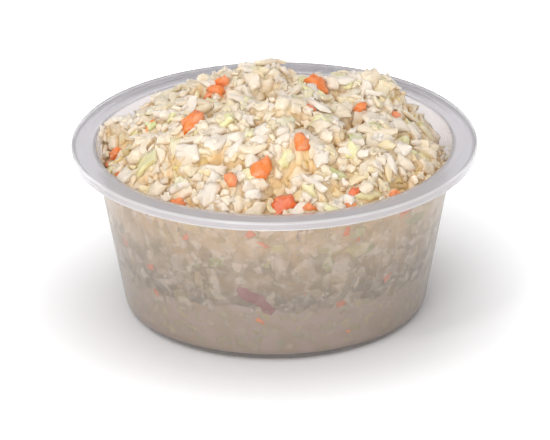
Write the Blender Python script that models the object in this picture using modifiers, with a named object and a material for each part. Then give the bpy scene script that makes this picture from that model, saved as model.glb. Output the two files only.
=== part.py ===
"""A takeaway portion of coleslaw in its round translucent plastic cup.

Three solids rest in one another, all in metres with +Z up and the origin at the centre of the cup's
foot: the moulded cup, the pool of dressing at the bottom of it, and the heap of chopped cabbage and
carrot that stands on the pool and mounds up over the rim.
"""

import math

import bpy
from mathutils import Vector, noise

# Driving dimensions of the cup.
RIM_RADIUS = 0.0500
CUP_HEIGHT = 0.0430
WALL_TOP_RADIUS = 0.0447
WALL_FOOT_RADIUS = 0.0367
WALL = 0.0008
CORNER_RADIUS = 0.0036

# The flange round the mouth: a flat ring, a shallow lid seat inside it and a lip turned down outside.
FLANGE = 0.0009
LIP_DROP = 0.0022
LIP = 0.0009
LIP_ROUND = 0.0007
SEAT_RADIUS = 0.0464
SEAT_DROP = 0.0004

# The foot: a raised ring to stand on, round a panel that is set up a little.
FOOT_INNER_RADIUS = 0.0300
FOOT_RECESS = 0.0006
FLOOR = 0.0010
GATE_RADIUS = 0.0022
GATE_DEPTH = 0.0003

# What is in the cup.
GAP = 0.0003
POOL_LEVEL = 0.0150
POOL_WAVE = 0.0013
HEAP_EDGE = 0.0385
HEAP_RISE = 0.0165
HEAP_SQUARENESS = 2.4
HEAP_SHOULDER = 0.85
LUMP_SIZE = 0.0075
LUMP_HEIGHT = 0.0011

# Clumps and hollows of the mound: centre x and y, radius, and height above or below the dome.
CLUMPS = (
    (-0.004, 0.014, 0.0058, 0.0034),
    (0.024, 0.014, 0.0062, 0.0050),
    (-0.030, 0.012, 0.0060, 0.0010),
    (-0.040, 0.009, 0.0034, 0.0052),
    (-0.032, 0.018, 0.0036, -0.0022),
    (-0.023, 0.022, 0.0034, -0.0012),
    (-0.015, 0.018, 0.0034, 0.0022),
    (0.016, 0.014, 0.0032, -0.0028),
    (0.030, 0.015, 0.0036, 0.0020),
    (0.011, 0.024, 0.0050, -0.0026),
    (0.004, -0.012, 0.0062, 0.0015),
    (-0.020, -0.016, 0.0056, 0.0015),
    (0.024, -0.014, 0.0056, 0.0010),
    (0.033, 0.002, 0.0040, 0.0008),
    (0.004, -0.031, 0.0036, -0.0032),
    (0.042, 0.006, 0.0080, -0.0040),
)

TURN_STEPS = 72
CONTENT_STEPS = 66
ARC_STEPS = 4
SMALL_ARC = 0.0005
SMALL_ARC_STEPS = 2
HEAP_RINGS = 22
POOL_RINGS = 6
SMOOTH_ANGLE = math.radians(35)


def clear_scene():
    """Starts from an empty scene."""
    for obj in list(bpy.data.objects):
        bpy.data.objects.remove(obj, do_unlink=True)


def new_collection(name):
    """A collection for the whole object."""
    collection = bpy.data.collections.new(name)
    bpy.context.scene.collection.children.link(collection)
    return collection


def plain_material(name, colour, roughness, transmission=0.0):
    """A Principled material of one colour."""
    material = bpy.data.materials.new(name)
    material.use_nodes = True
    shader = material.node_tree.nodes["Principled BSDF"]
    shader.inputs["Base Color"].default_value = (*colour, 1.0)
    shader.inputs["Roughness"].default_value = roughness
    shader.inputs["Metallic"].default_value = 0.0
    shader.inputs["Transmission Weight"].default_value = transmission
    return material


def floor_height():
    """Height of the cup's floor inside, over the recess and the floor's own thickness."""
    return FOOT_RECESS + FLOOR


def outer_radius(z):
    """Radius of the wall's straight outer face, which leans out from the foot to the mouth."""
    return WALL_FOOT_RADIUS + (WALL_TOP_RADIUS - WALL_FOOT_RADIUS) * z / CUP_HEIGHT


def inner_radius(z):
    """Radius of the wall's inner face, with the quarter round where it meets the floor."""
    bend = CORNER_RADIUS - WALL
    above = z - floor_height()
    if above >= bend:
        return outer_radius(z) - WALL
    centre = outer_radius(floor_height() + bend) - WALL - bend
    return centre + math.sqrt(max(bend**2 - (bend - above) ** 2, 0.0))


def rounded(corners):
    """A polyline through corners given as (radius, height, rounding), each rounded by an arc."""
    line = []
    for i, (r, z, rounding) in enumerate(corners):
        corner = Vector((r, z))
        if rounding == 0 or i in (0, len(corners) - 1):
            line.append(corner)
            continue
        back = (Vector(corners[i - 1][:2]) - corner).normalized()
        ahead = (Vector(corners[i + 1][:2]) - corner).normalized()
        half = back.angle(ahead) / 2
        centre = corner + (back + ahead).normalized() * rounding / math.sin(half)
        start = corner + back * rounding / math.tan(half) - centre
        end = corner + ahead * rounding / math.tan(half) - centre
        sweep = start.angle_signed(end)
        steps = ARC_STEPS if rounding > SMALL_ARC else SMALL_ARC_STEPS
        for step in range(steps + 1):
            turn = -sweep * step / steps
            c, s = math.cos(turn), math.sin(turn)
            line.append(centre + Vector((start.x * c - start.y * s, start.x * s + start.y * c)))
    return line


def turned(name, line, steps, collection):
    """A solid turned about Z by a Screw modifier from a line of (radius, height) points."""
    mesh = bpy.data.meshes.new(name)
    points = [(r, 0.0, z) for r, z in line]
    edges = [(i, i + 1) for i in range(len(points) - 1)]
    mesh.from_pydata(points, edges, [])
    obj = bpy.data.objects.new(name, mesh)
    collection.objects.link(obj)
    screw = obj.modifiers.new("turn", "SCREW")
    screw.axis = "Z"
    screw.angle = math.tau
    screw.steps = steps
    screw.render_steps = steps
    screw.use_merge_vertices = True
    screw.merge_threshold = 1e-6
    return obj


def frozen(obj):
    """Applies the object's modifiers, shades it smooth and keeps its sharp edges."""
    graph = bpy.context.evaluated_depsgraph_get()
    mesh = bpy.data.meshes.new_from_object(obj.evaluated_get(graph))
    obj.modifiers.clear()
    obj.data = mesh
    mesh.shade_smooth()
    mesh.set_sharp_from_angle(angle=SMOOTH_ANGLE)
    return obj


def cup_line():
    """The cup's section, from the floor's centre up the inside, over the rim and down the outside."""
    seat = CUP_HEIGHT - SEAT_DROP
    under_flange = CUP_HEIGHT - FLANGE
    lip_end = CUP_HEIGHT - LIP_DROP
    return rounded(
        [
            (0.0, floor_height(), 0),
            (outer_radius(floor_height()) - WALL, floor_height(), CORNER_RADIUS - WALL),
            (outer_radius(seat) - WALL, seat, 0.0003),
            (SEAT_RADIUS, CUP_HEIGHT, 0),
            (RIM_RADIUS, CUP_HEIGHT, LIP_ROUND),
            (RIM_RADIUS, lip_end, 0.0003),
            (RIM_RADIUS - LIP, lip_end, 0),
            (RIM_RADIUS - LIP, under_flange, 0.0004),
            (outer_radius(under_flange), under_flange, 0.0004),
            (outer_radius(0), 0.0, CORNER_RADIUS),
            (FOOT_INNER_RADIUS, 0.0, 0),
            (FOOT_INNER_RADIUS - FOOT_RECESS, FOOT_RECESS, 0),
            (GATE_RADIUS, FOOT_RECESS, 0),
            (GATE_RADIUS - GATE_DEPTH, FOOT_RECESS + GATE_DEPTH, 0),
            (0.0, FOOT_RECESS + GATE_DEPTH, 0),
        ]
    )


def pool_top(x, y):
    """Height of the dressing's surface: a slow swell all round it with a finer ripple on that."""
    turn = math.atan2(y, x)
    reach = min(math.hypot(x, y) / WALL_FOOT_RADIUS, 1.0)
    swell = 0.55 * math.sin(3 * turn + 0.6) + 0.45 * math.sin(7 * turn + 2.1)
    ripple = noise.noise(Vector((x, y, 0.0)) / LUMP_SIZE)
    return POOL_LEVEL + POOL_WAVE * (swell * reach**2 + 0.5 * ripple)


def heap_top(x, y):
    """Height of the mound: a squarish dome, the clumps and hollows on it, and lumps all over."""
    reach = min(math.hypot(x, y) / outer_radius(HEAP_EDGE), 1.0)
    dome = (1 - reach**HEAP_SQUARENESS) ** HEAP_SHOULDER
    height = HEAP_EDGE + HEAP_RISE * dome
    for centre_x, centre_y, radius, rise in CLUMPS:
        away = ((x - centre_x) ** 2 + (y - centre_y) ** 2) / (2 * radius**2)
        height += rise * math.exp(-away)
    lump = noise.fractal(Vector((x, y, 0.01)) / LUMP_SIZE, 0.8, 2.0, 2)
    return height + LUMP_HEIGHT * lump


def filling(name, shares, underside, top, collection):
    """A content solid that fits the cup. Each point of its line is a pair of shares: how far out it
    is, from the axis to the wall, and how far up, from the underside to the top."""
    obj = frozen(turned(name, shares, CONTENT_STEPS, collection))
    for vertex in obj.data.vertices:
        out, turn = math.hypot(vertex.co.x, vertex.co.y), math.atan2(vertex.co.y, vertex.co.x)
        up = vertex.co.z
        reach = out * WALL_FOOT_RADIUS
        radius = reach
        for _ in range(3):
            x, y = radius * math.cos(turn), radius * math.sin(turn)
            height = underside(x, y) * (1 - up) + top(x, y) * up
            radius = out * (inner_radius(height) - GAP)
        vertex.co = (radius * math.cos(turn), radius * math.sin(turn), height)
    return obj


def cup(collection):
    """The moulded cup: one shell with its flange, lid seat, turned-down lip and foot."""
    obj = frozen(turned("cup", cup_line(), TURN_STEPS, collection))
    obj.data.materials.append(plain_material("plastic", (0.82, 0.81, 0.84), 0.3, 0.75))
    return obj


def pool(collection):
    """The dressing that has run to the bottom of the cup."""
    rings = [(i / POOL_RINGS, 1.0) for i in range(POOL_RINGS)]
    side = [(1.0, up) for up in (1.0, 0.66, 0.33, 0.18, 0.09, 0.04, 0.0)]
    obj = filling(
        "dressing",
        rings + side + [(0.0, 0.0)],
        lambda x, y: floor_height() + GAP,
        pool_top,
        collection,
    )
    obj.data.materials.append(plain_material("dressing", (0.86, 0.82, 0.74), 0.35))
    return obj


def heap(collection):
    """The chopped cabbage and carrot, as one solid out to its uneven outline."""
    rings = [((i / HEAP_RINGS) ** 0.8, 1.0) for i in range(HEAP_RINGS)]
    side = [(1.0, up) for up in (1.0, 0.75, 0.5, 0.25, 0.0)]
    beneath = [(1 - i / POOL_RINGS, 0.0) for i in range(1, POOL_RINGS + 1)]
    obj = filling(
        "slaw",
        rings + side + beneath,
        lambda x, y: pool_top(x, y) + GAP,
        heap_top,
        collection,
    )
    obj.data.materials.append(plain_material("cabbage", (0.88, 0.84, 0.68), 0.4))
    return obj


def main():
    """Builds the cup and what is in it."""
    clear_scene()
    coleslaw = new_collection("coleslaw")
    cup(coleslaw)
    pool(coleslaw)
    heap(coleslaw)


main()
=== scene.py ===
# %% [markdown]
# # A portion of coleslaw in its plastic cup
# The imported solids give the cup, the pool of dressing and the heap's outline. This lesson turns them
# into the real thing: a thin translucent cup, and thousands of separate chopped bits that are dropped
# one after another, so that they lie, lean and sag on each other as they do in a real portion.

# %% Load the model
import math

import bpy
import numpy as np
from mathutils import Matrix, Vector
from mathutils.bvhtree import BVHTree


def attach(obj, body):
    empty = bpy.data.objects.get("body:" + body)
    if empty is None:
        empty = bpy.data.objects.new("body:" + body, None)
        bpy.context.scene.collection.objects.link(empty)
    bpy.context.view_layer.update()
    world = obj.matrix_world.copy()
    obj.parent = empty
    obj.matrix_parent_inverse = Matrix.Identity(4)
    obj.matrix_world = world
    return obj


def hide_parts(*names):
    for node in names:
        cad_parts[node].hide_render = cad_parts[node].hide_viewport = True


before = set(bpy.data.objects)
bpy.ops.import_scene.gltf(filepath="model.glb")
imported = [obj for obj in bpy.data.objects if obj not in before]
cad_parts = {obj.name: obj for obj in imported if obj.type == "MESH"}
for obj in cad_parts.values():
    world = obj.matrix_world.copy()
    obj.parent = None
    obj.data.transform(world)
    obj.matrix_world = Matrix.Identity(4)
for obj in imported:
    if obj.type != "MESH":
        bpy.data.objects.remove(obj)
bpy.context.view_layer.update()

MM = 0.001

# %% [markdown]
# ## Camera
# The cup is seen from a little above the table with a very long lens, so the mouth is a clean ellipse
# and the sides hardly converge. The camera's three axes are worked out from its height angle and
# its small lean, and go straight into its matrix.

# %% Camera
HEIGHT_ANGLE = math.radians(23.97)
DISTANCE = 2.1247
LENS = 563.5
LEAN = math.radians(0.563)
LOOK_AT = np.array([0.0, 0.0, 0.0216])


def turn_about(vector, axis, angle):
    """The vector turned about a unit axis: v cos a + (axis x v) sin a + axis (axis . v)(1 - cos a)."""
    along = axis * np.dot(axis, vector) * (1 - math.cos(angle))
    return vector * math.cos(angle) + np.cross(axis, vector) * math.sin(angle) + along


def add_camera():
    """A camera on the -Y side, raised by the height angle and rolled by the lean."""
    data = bpy.data.cameras.new("camera")
    data.lens = LENS
    data.sensor_width = 36.0
    data.clip_start, data.clip_end = 0.1, 20.0
    camera = bpy.data.objects.new("camera", data)
    back = np.array([0.0, -math.cos(HEIGHT_ANGLE), math.sin(HEIGHT_ANGLE)])
    right = np.array([1.0, 0.0, 0.0])
    up = np.cross(back, right)
    right, up = (turn_about(v, -back, LEAN) for v in (right, up))
    place = Matrix.Identity(4)
    for column, axis in enumerate((right, up, back, LOOK_AT + back * DISTANCE)):
        for row in range(3):
            place[row][column] = axis[row]
    camera.matrix_world = place
    bpy.context.scene.collection.objects.link(camera)
    bpy.context.scene.camera = camera
    return camera


camera = add_camera()
bpy.context.scene.view_settings.view_transform = "Standard"
print("camera at", [round(c, 3) for c in camera.matrix_world.translation])

# %% [markdown]
# ## The cup's shape
# The cup is moulded, so one section turned about its axis describes all of it. The section is
# walked from the middle of the floor inside, up the wall, over the flange with its lid seat, round
# the lip that is turned down outside, and back down to the foot. Each corner is rounded by an arc.

# %% Cup sizes
RIM_RADIUS, CUP_HEIGHT = 50.0 * MM, 43.0 * MM
WALL_TOP, WALL_FOOT, WALL = 44.7 * MM, 36.7 * MM, 0.8 * MM
CORNER, FLANGE, LIP_DROP, LIP = 3.6 * MM, 0.9 * MM, 2.2 * MM, 0.9 * MM
SEAT_RADIUS, SEAT_DROP = 46.4 * MM, 0.4 * MM
FOOT_INNER, FOOT_RECESS, FLOOR = 30.0 * MM, 0.6 * MM, 1.0 * MM
FLOOR_INSIDE = FOOT_RECESS + FLOOR


def outer_radius(z):
    """The wall's outer radius, a straight line from foot to mouth."""
    return WALL_FOOT + (WALL_TOP - WALL_FOOT) * z / CUP_HEIGHT


def inner_radius(z):
    """The wall's inner radius: the straight line less the wall, with a quarter round at the floor."""
    bend = CORNER - WALL
    above = np.clip(bend - (z - FLOOR_INSIDE), 0.0, bend)
    centre = outer_radius(FLOOR_INSIDE + bend) - WALL - bend
    return np.where(above > 0, centre + np.sqrt(bend**2 - above**2), outer_radius(z) - WALL)


# %% A closed grid, the net of every new piece
def closed_grid(rows, columns):
    """Faces of a grid that closes round its columns and ends in a pole at its first and last row.

    Point 0 is the first pole, then come the rows, and the last point is the other pole."""
    r, c = np.meshgrid(np.arange(rows - 1), np.arange(columns), indexing="ij")
    r, c = r.ravel(), c.ravel()
    after = (c + 1) % columns
    here = 1 + r * columns
    quads = np.stack([here + c, here + columns + c, here + columns + after, here + after], 1)
    c = np.arange(columns)
    after = (c + 1) % columns
    last = 1 + (rows - 1) * columns
    first_fan = np.stack([np.zeros_like(c), 1 + c, 1 + after], 1)
    last_fan = np.stack([np.full_like(c, rows * columns + 1), last + after, last + c], 1)
    return quads, np.concatenate([first_fan, last_fan])


def make_object(name, points, quads, triangles, material, uv=None, tint=None, crease=180):
    """A mesh object from arrays, smooth up to a crease angle, riding on the model's root body."""
    mesh = bpy.data.meshes.new(name)
    mesh.from_pydata(points.tolist(), [], quads.tolist() + triangles.tolist())
    mesh.shade_smooth()
    if crease < 180:
        mesh.set_sharp_from_angle(angle=math.radians(crease))
    if uv is not None:
        corners = np.empty(len(mesh.loops), dtype=np.int32)
        mesh.loops.foreach_get("vertex_index", corners)
        mesh.uv_layers.new(name="grain").data.foreach_set("uv", uv[corners].ravel())
    if tint is not None:
        colour = mesh.color_attributes.new("tint", "FLOAT_COLOR", "POINT")
        colour.data.foreach_set("color", np.column_stack([tint, np.ones(len(tint))]).ravel())
    mesh.materials.append(material)
    obj = bpy.data.objects.new(name, mesh)
    bpy.context.scene.collection.objects.link(obj)
    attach(obj, "root")
    print(name, len(mesh.vertices), "points", len(quads) * 2 + len(triangles), "triangles")
    return obj


# %% [markdown]
# ## Materials
# Everything in the cup is wet with dressing. That wetness is one effect on several finishes, so it
# is a node group: a broken-up milky film that whitens the colour here and there, and small ripples
# in the surface that catch the light. The film's own gloss is a clear coat in each material.

# %% Node helpers
def add_node(tree, kind, **values):
    """A node with values for its properties, or for its inputs where the name is a socket's."""
    node = tree.nodes.new(kind)
    for name, value in values.items():
        if name in node.inputs:
            node.inputs[name].default_value = value
        else:
            setattr(node, name, value)
    return node


def blend_colour(tree, amount, first, second, mode="MIX"):
    """A Mix node between two colours; each input is a socket or a plain value."""
    node = add_node(tree, "ShaderNodeMix", data_type="RGBA", blend_type=mode)
    for index, value in ((0, amount), (6, first), (7, second)):
        if isinstance(value, bpy.types.NodeSocket):
            tree.links.new(value, node.inputs[index])
        else:
            node.inputs[index].default_value = value
    return node.outputs[2]


def noise_on(tree, coordinate, scale, detail=2.0, roughness=0.5, distortion=0.0):
    """A noise texture on a coordinate socket; scale is in features per metre or per UV unit."""
    node = add_node(tree, "ShaderNodeTexNoise", Detail=detail, Roughness=roughness, Distortion=distortion)
    if isinstance(scale, bpy.types.NodeSocket):
        tree.links.new(scale, node.inputs["Scale"])
    else:
        node.inputs["Scale"].default_value = scale
    tree.links.new(coordinate, node.inputs["Vector"])
    return node.outputs["Fac"]


def ranged(tree, value, low, high, out_low=0.0, out_high=1.0):
    """A Map Range node, clamped and eased at both ends."""
    limits = {"From Min": low, "From Max": high, "To Min": out_low, "To Max": out_high}
    node = add_node(tree, "ShaderNodeMapRange", interpolation_type="SMOOTHSTEP", **limits)
    tree.links.new(value, node.inputs["Value"])
    return node.outputs["Result"]


def calculated(tree, operation, first, second):
    """A Math node on two sockets."""
    node = add_node(tree, "ShaderNodeMath", operation=operation)
    tree.links.new(first, node.inputs[0])
    tree.links.new(second, node.inputs[1])
    return node.outputs[0]


# %% Node groups
def number_inputs(group, *pairs):
    """Gives a node group a number input for each pair of a name and a default value."""
    for name, value in pairs:
        socket = group.interface.new_socket(name, in_out="INPUT", socket_type="NodeSocketFloat")
        socket.default_value = value


def wetness_group():
    """Milky dressing over a colour. Puts out the filmed colour, its roughness and a rippled normal."""
    group = bpy.data.node_groups.new("dressing film", "ShaderNodeTree")
    face = group.interface
    colour_in = face.new_socket("Color", in_out="INPUT", socket_type="NodeSocketColor")
    colour_in.default_value = (0.8, 0.8, 0.8, 1.0)
    number_inputs(group, ("Film", 0.4), ("Patch Scale", 260.0), ("Ripple", 0.3), ("Ripple Scale", 900.0))
    face.new_socket("Color", in_out="OUTPUT", socket_type="NodeSocketColor")
    face.new_socket("Roughness", in_out="OUTPUT", socket_type="NodeSocketFloat")
    face.new_socket("Normal", in_out="OUTPUT", socket_type="NodeSocketVector")
    inside = group.nodes.new("NodeGroupInput")
    outside = group.nodes.new("NodeGroupOutput")
    place = group.nodes.new("ShaderNodeTexCoord").outputs["Object"]
    patches = noise_on(group, place, inside.outputs["Patch Scale"], 3.0, 0.55, 0.6)
    mask = ranged(group, patches, 0.42, 0.66)
    share = calculated(group, "MULTIPLY", mask, inside.outputs["Film"])
    filmed = blend_colour(group, share, inside.outputs["Color"], (0.90, 0.79, 0.68, 1.0))
    group.links.new(filmed, outside.inputs["Color"])
    group.links.new(ranged(group, mask, 0.0, 1.0, 0.34, 0.5), outside.inputs["Roughness"])
    ripples = noise_on(group, place, inside.outputs["Ripple Scale"], 2.5, 0.6)
    bump = add_node(group, "ShaderNodeBump", Distance=0.0006)
    group.links.new(inside.outputs["Ripple"], bump.inputs["Strength"])
    group.links.new(ripples, bump.inputs["Height"])
    group.links.new(bump.outputs["Normal"], outside.inputs["Normal"])
    return group


def fibre_group():
    """Fibres along a cut vegetable's length: noise on the piece's UV, drawn out along U."""
    group = bpy.data.node_groups.new("vegetable fibres", "ShaderNodeTree")
    number_inputs(group, ("Along", 0.6), ("Across", 5.0))
    group.interface.new_socket("Fibre", in_out="OUTPUT", socket_type="NodeSocketFloat")
    inside = group.nodes.new("NodeGroupInput")
    outside = group.nodes.new("NodeGroupOutput")
    uv = group.nodes.new("ShaderNodeUVMap")
    uv.uv_map = "grain"
    split = group.nodes.new("ShaderNodeSeparateXYZ")
    join = group.nodes.new("ShaderNodeCombineXYZ")
    group.links.new(uv.outputs["UV"], split.inputs[0])
    for axis, name in ((0, "Along"), (1, "Across")):
        scaled = calculated(group, "MULTIPLY", split.outputs[axis], inside.outputs[name])
        group.links.new(scaled, join.inputs[axis])
    streaks = noise_on(group, join.outputs[0], 1.0, 3.0, 0.6, 0.4)
    group.links.new(ranged(group, streaks, 0.3, 0.7), outside.inputs["Fibre"])
    return group


FILM, FIBRES = wetness_group(), fibre_group()
print("groups:", FILM.name, "and", FIBRES.name)

# %% Shader helpers
def principled(name, **values):
    """A new material and its Principled shader, with plain values set on the shader's sockets."""
    material = bpy.data.materials.new(name)
    material.use_nodes = True
    shader = material.node_tree.nodes["Principled BSDF"]
    for socket, value in values.items():
        shader.inputs[socket.replace("_", " ")].default_value = value
    return material, material.node_tree, shader


def film_over(tree, shader, colour, **values):
    """Puts the dressing film over a colour socket and links it to the shader."""
    film = add_node(tree, "ShaderNodeGroup", node_tree=FILM)
    for name, value in values.items():
        film.inputs[name.replace("_", " ")].default_value = value
    tree.links.new(colour, film.inputs["Color"])
    tree.links.new(film.outputs["Color"], shader.inputs["Base Color"])
    tree.links.new(film.outputs["Roughness"], shader.inputs["Roughness"])
    tree.links.new(film.outputs["Normal"], shader.inputs["Normal"])
    return film


# %% Food materials
def vegetable(name, glow, film, ripple, along, across, light, dark, radius):
    """Wet chopped vegetable: its piece's tint, with painted shade in it, streaked by fibres, under a film
    of dressing.
    """
    material, tree, shader = principled(
        name,
        Subsurface_Weight=glow,
        Subsurface_Scale=0.001,
        Subsurface_Radius=radius,
        Coat_Weight=0.6,
        Coat_Roughness=0.1,
        IOR=1.4,
    )
    tint = add_node(tree, "ShaderNodeAttribute", attribute_name="tint").outputs["Color"]
    fibres = add_node(tree, "ShaderNodeGroup", node_tree=FIBRES, Along=along, Across=across)
    streaked = blend_colour(tree, 1.0, tint, blend_colour(tree, fibres.outputs[0], dark, light), "MULTIPLY")
    film_over(tree, shader, streaked, Film=film, Ripple=ripple)
    return material


CABBAGE = vegetable(
    "wet cabbage", 0.35, 0.45, 0.5, 0.7, 4.0, (0.97, 0.97, 0.97, 1), (0.92, 0.90, 0.83, 1), (0.8, 0.8, 0.75)
)
CARROT = vegetable(
    "wet carrot", 0.25, 0.16, 0.25, 1.5, 7.0, (1.0, 1.0, 1.0, 1), (0.90, 0.72, 0.6, 1), (0.9, 0.5, 0.3)
)


def mass_material(name, patch, tinted, film, ripple, scale):
    """Material of the closed masses under the bits: a colour with patches of another, and the film.

    A tinted mass takes its colour from its tint, which has painted shade in it, and the patches
    multiply it."""
    material, tree, shader = principled(
        name, Subsurface_Weight=0.5, Subsurface_Scale=0.001, Subsurface_Radius=(1.4, 1.2, 1.0),
        Coat_Weight=0.4, Coat_Roughness=0.12, IOR=1.4,
    )
    place = tree.nodes.new("ShaderNodeTexCoord").outputs["Object"]
    mottle = ranged(tree, noise_on(tree, place, scale, 4.0, 0.6, 0.8), 0.42, 0.62)
    if tinted is None:
        tint = add_node(tree, "ShaderNodeAttribute", attribute_name="tint").outputs["Color"]
        colour = blend_colour(tree, mottle, tint, patch, "MULTIPLY")
    else:
        colour = blend_colour(tree, mottle, tinted, patch)
    film_over(tree, shader, colour, Film=film, Ripple=ripple)
    return material


MASS = mass_material("cabbage mass", (1.0, 0.94, 0.80, 1), None, 0.25, 0.6, 420.0)
SOAKED = mass_material("soaked cabbage", (1.0, 0.94, 0.80, 1), None, 0.0, 0.1, 300.0)
# The pool's colours are the dressing's warm colour darkened by painted shade, for the dim bottom of the cup.
POOL = mass_material("milky dressing", (0.445, 0.33, 0.21, 1), (0.495, 0.367, 0.295, 1), 0.0, 0.1, 170.0)


# %% Plastics
def plastic_material(name, clear, colour, roughness):
    """Translucent plastic: mostly rough clear, with a little milkiness, with painted highlights that make
    the flange's two outer edges paler, where light comes out of the plastic, and with a faint grain."""
    material, tree, shader = principled(name, Transmission_Weight=clear, Roughness=roughness, IOR=1.45)
    place = tree.nodes.new("ShaderNodeTexCoord").outputs["Object"]
    split, flat = tree.nodes.new("ShaderNodeSeparateXYZ"), tree.nodes.new("ShaderNodeCombineXYZ")
    tree.links.new(place, split.inputs[0])
    tree.links.new(split.outputs["X"], flat.inputs["X"])
    tree.links.new(split.outputs["Y"], flat.inputs["Y"])
    out = add_node(tree, "ShaderNodeVectorMath", operation="LENGTH")
    tree.links.new(flat.outputs[0], out.inputs[0])
    far, height = out.outputs["Value"], split.outputs["Z"]
    # Painted highlights: pale lines on the flange's outer top corner and along the lip's lower edge.
    shoulder = ranged(tree, far, RIM_RADIUS - 0.6 * MM, RIM_RADIUS - 0.4 * MM)
    low_edge = ranged(tree, height, CUP_HEIGHT - 1.75 * MM, CUP_HEIGHT - 2.0 * MM)
    high_edge = ranged(tree, height, CUP_HEIGHT - 0.7 * MM, CUP_HEIGHT - 0.4 * MM)
    corner = calculated(tree, "MULTIPLY", shoulder, high_edge)
    outer_lip = ranged(tree, far, RIM_RADIUS - 1.5 * MM, RIM_RADIUS - 1.2 * MM)
    lip = calculated(tree, "MULTIPLY", outer_lip, low_edge)
    edges = calculated(tree, "MAXIMUM", corner, lip)
    colour_with_painted_highlights = blend_colour(tree, edges, colour, (1.0, 0.99, 0.99, 1))
    tree.links.new(colour_with_painted_highlights, shader.inputs["Base Color"])
    bump = add_node(tree, "ShaderNodeBump", Strength=0.02, Distance=0.0002)
    tree.links.new(noise_on(tree, place, 350.0, 2.0, 0.5), bump.inputs["Height"])
    tree.links.new(bump.outputs["Normal"], shader.inputs["Normal"])
    return material


# The flange, and the wall where no food wets it, look milkier, so they have a finish of their own.
PLASTIC = plastic_material("translucent plastic", 0.89, (0.94, 0.895, 0.87, 1), 0.25)
FLANGE_PLASTIC = plastic_material("milky flange plastic", 0.62, (0.69, 0.67, 0.70, 1), 0.17)
print("materials:", [m.name for m in (CABBAGE, CARROT, MASS, POOL, PLASTIC)])

# %% [markdown]
# ## The cup
# The turned section is finer here than in the solid model, so its rim is round even close up.

# %% Rounded corners
def arc_corner(before, corner, after, rounding, steps):
    """Points of the arc that rounds a corner between two straight lines."""
    back, ahead = before - corner, after - corner
    back, ahead = back / np.linalg.norm(back), ahead / np.linalg.norm(ahead)
    half = math.acos(np.clip(back @ ahead, -1, 1)) / 2
    middle = back + ahead
    centre = corner + middle / np.linalg.norm(middle) * rounding / math.sin(half)
    start = corner + back * rounding / math.tan(half) - centre
    end = corner + ahead * rounding / math.tan(half) - centre
    sweep = math.atan2(start[0] * end[1] - start[1] * end[0], start @ end)
    turn = np.linspace(0, sweep, steps + 1)[:, None]
    side = np.array([-start[1], start[0]])
    return centre + start * np.cos(turn) + side * np.sin(turn)


# %% The cup's section
def cup_section():
    """The cup's section as (radius, height) points, from the floor inside to the foot."""
    seat, flange, lip = CUP_HEIGHT - SEAT_DROP, CUP_HEIGHT - FLANGE, CUP_HEIGHT - LIP_DROP
    corners = [
        (outer_radius(FLOOR_INSIDE) - WALL, FLOOR_INSIDE, CORNER - WALL, 8),
        (outer_radius(seat) - WALL, seat, 0.3 * MM, 3),
        (SEAT_RADIUS, CUP_HEIGHT, 0.25 * MM, 2),
        (RIM_RADIUS, CUP_HEIGHT, 0.7 * MM, 6),
        (RIM_RADIUS, lip, 0.3 * MM, 3),
        (RIM_RADIUS - LIP, lip, 0.25 * MM, 2),
        (RIM_RADIUS - LIP, flange, 0.4 * MM, 3),
        (outer_radius(flange), flange, 0.4 * MM, 3),
        (outer_radius(0.0), 0.0, CORNER, 8),
        (FOOT_INNER, 0.0, 0.15 * MM, 2),
        (FOOT_INNER - FOOT_RECESS, FOOT_RECESS, 0.15 * MM, 2),
    ]
    ends = [np.array([0.0, FLOOR_INSIDE]), np.array([0.0, FOOT_RECESS])]
    places = [ends[0]] + [np.array(c[:2]) for c in corners] + [ends[1]]
    line = [np.array([[12 * MM, FLOOR_INSIDE]])]
    for i, (_, _, rounding, steps) in enumerate(corners):
        line.append(arc_corner(places[i], places[i + 1], places[i + 2], rounding, steps))
        if i == 0:
            rows = np.linspace(35.0 * MM, 41.0 * MM, 13)
            line.append(np.column_stack([outer_radius(rows) - WALL, rows]))
    line.append(np.array([[12 * MM, FOOT_RECESS]]))
    return np.concatenate(line)


def turned_surface(section, steps, first_pole, last_pole):
    """A section swept round Z: x = r cos t, y = r sin t, z = h, closed by a pole at each end."""
    turn = np.arange(steps) * math.tau / steps
    r, z = section[:, :1], section[:, 1:]
    grid = np.stack([r * np.cos(turn), r * np.sin(turn), z + 0 * turn], -1).reshape(-1, 3)
    return np.concatenate([[(0, 0, first_pole)], grid, [(0, 0, last_pole)]])


# %% Cup
section = cup_section()
CUP_STEPS = 192
cup_points = turned_surface(section, CUP_STEPS, FLOOR_INSIDE, FOOT_RECESS)
quads, fans = closed_grid(len(section), CUP_STEPS)
cup = make_object("plastic_cup", cup_points, quads, fans, PLASTIC)
cup_middles = np.concatenate([cup_points[quads].mean(1), cup_points[fans].mean(1)])
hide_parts("cup")
corners = np.concatenate([quads[:, :3], quads[:, [0, 2, 3]], fans])
a, b, c = (cup_points[corners[:, i]] for i in range(3))
volume = np.einsum("ij,ij->i", a, np.cross(b, c)).sum() / 6
print("plastic %.1f ml, positive when faces look outwards" % (volume / 1e-6))

# %% [markdown]
# ## What the heap and the pool look like from outside
# The solids already hold the true outline of the mound and the dressing's level. Rays dropped
# straight down on them read those heights off, on a grid for the mound and round the wall for the pool.

# %% Heights of the solids
# The fine grid's step and half of both grids' width, the coarse grid's step, and how far out the
# rays still meet the two tops.
PITCH, HALF = 0.4 * MM, 45.0 * MM
COARSE = 1.2 * MM
HEAP_REACH, POOL_REACH = 42.3 * MM, 37.5 * MM


def tree_of(node):
    """A search tree of a CAD node's triangles."""
    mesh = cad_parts[node].data
    corners = np.empty(len(mesh.vertices) * 3)
    mesh.vertices.foreach_get("co", corners)
    return BVHTree.FromPolygons(corners.reshape(-1, 3).tolist(), [tuple(p.vertices) for p in mesh.polygons])


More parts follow.
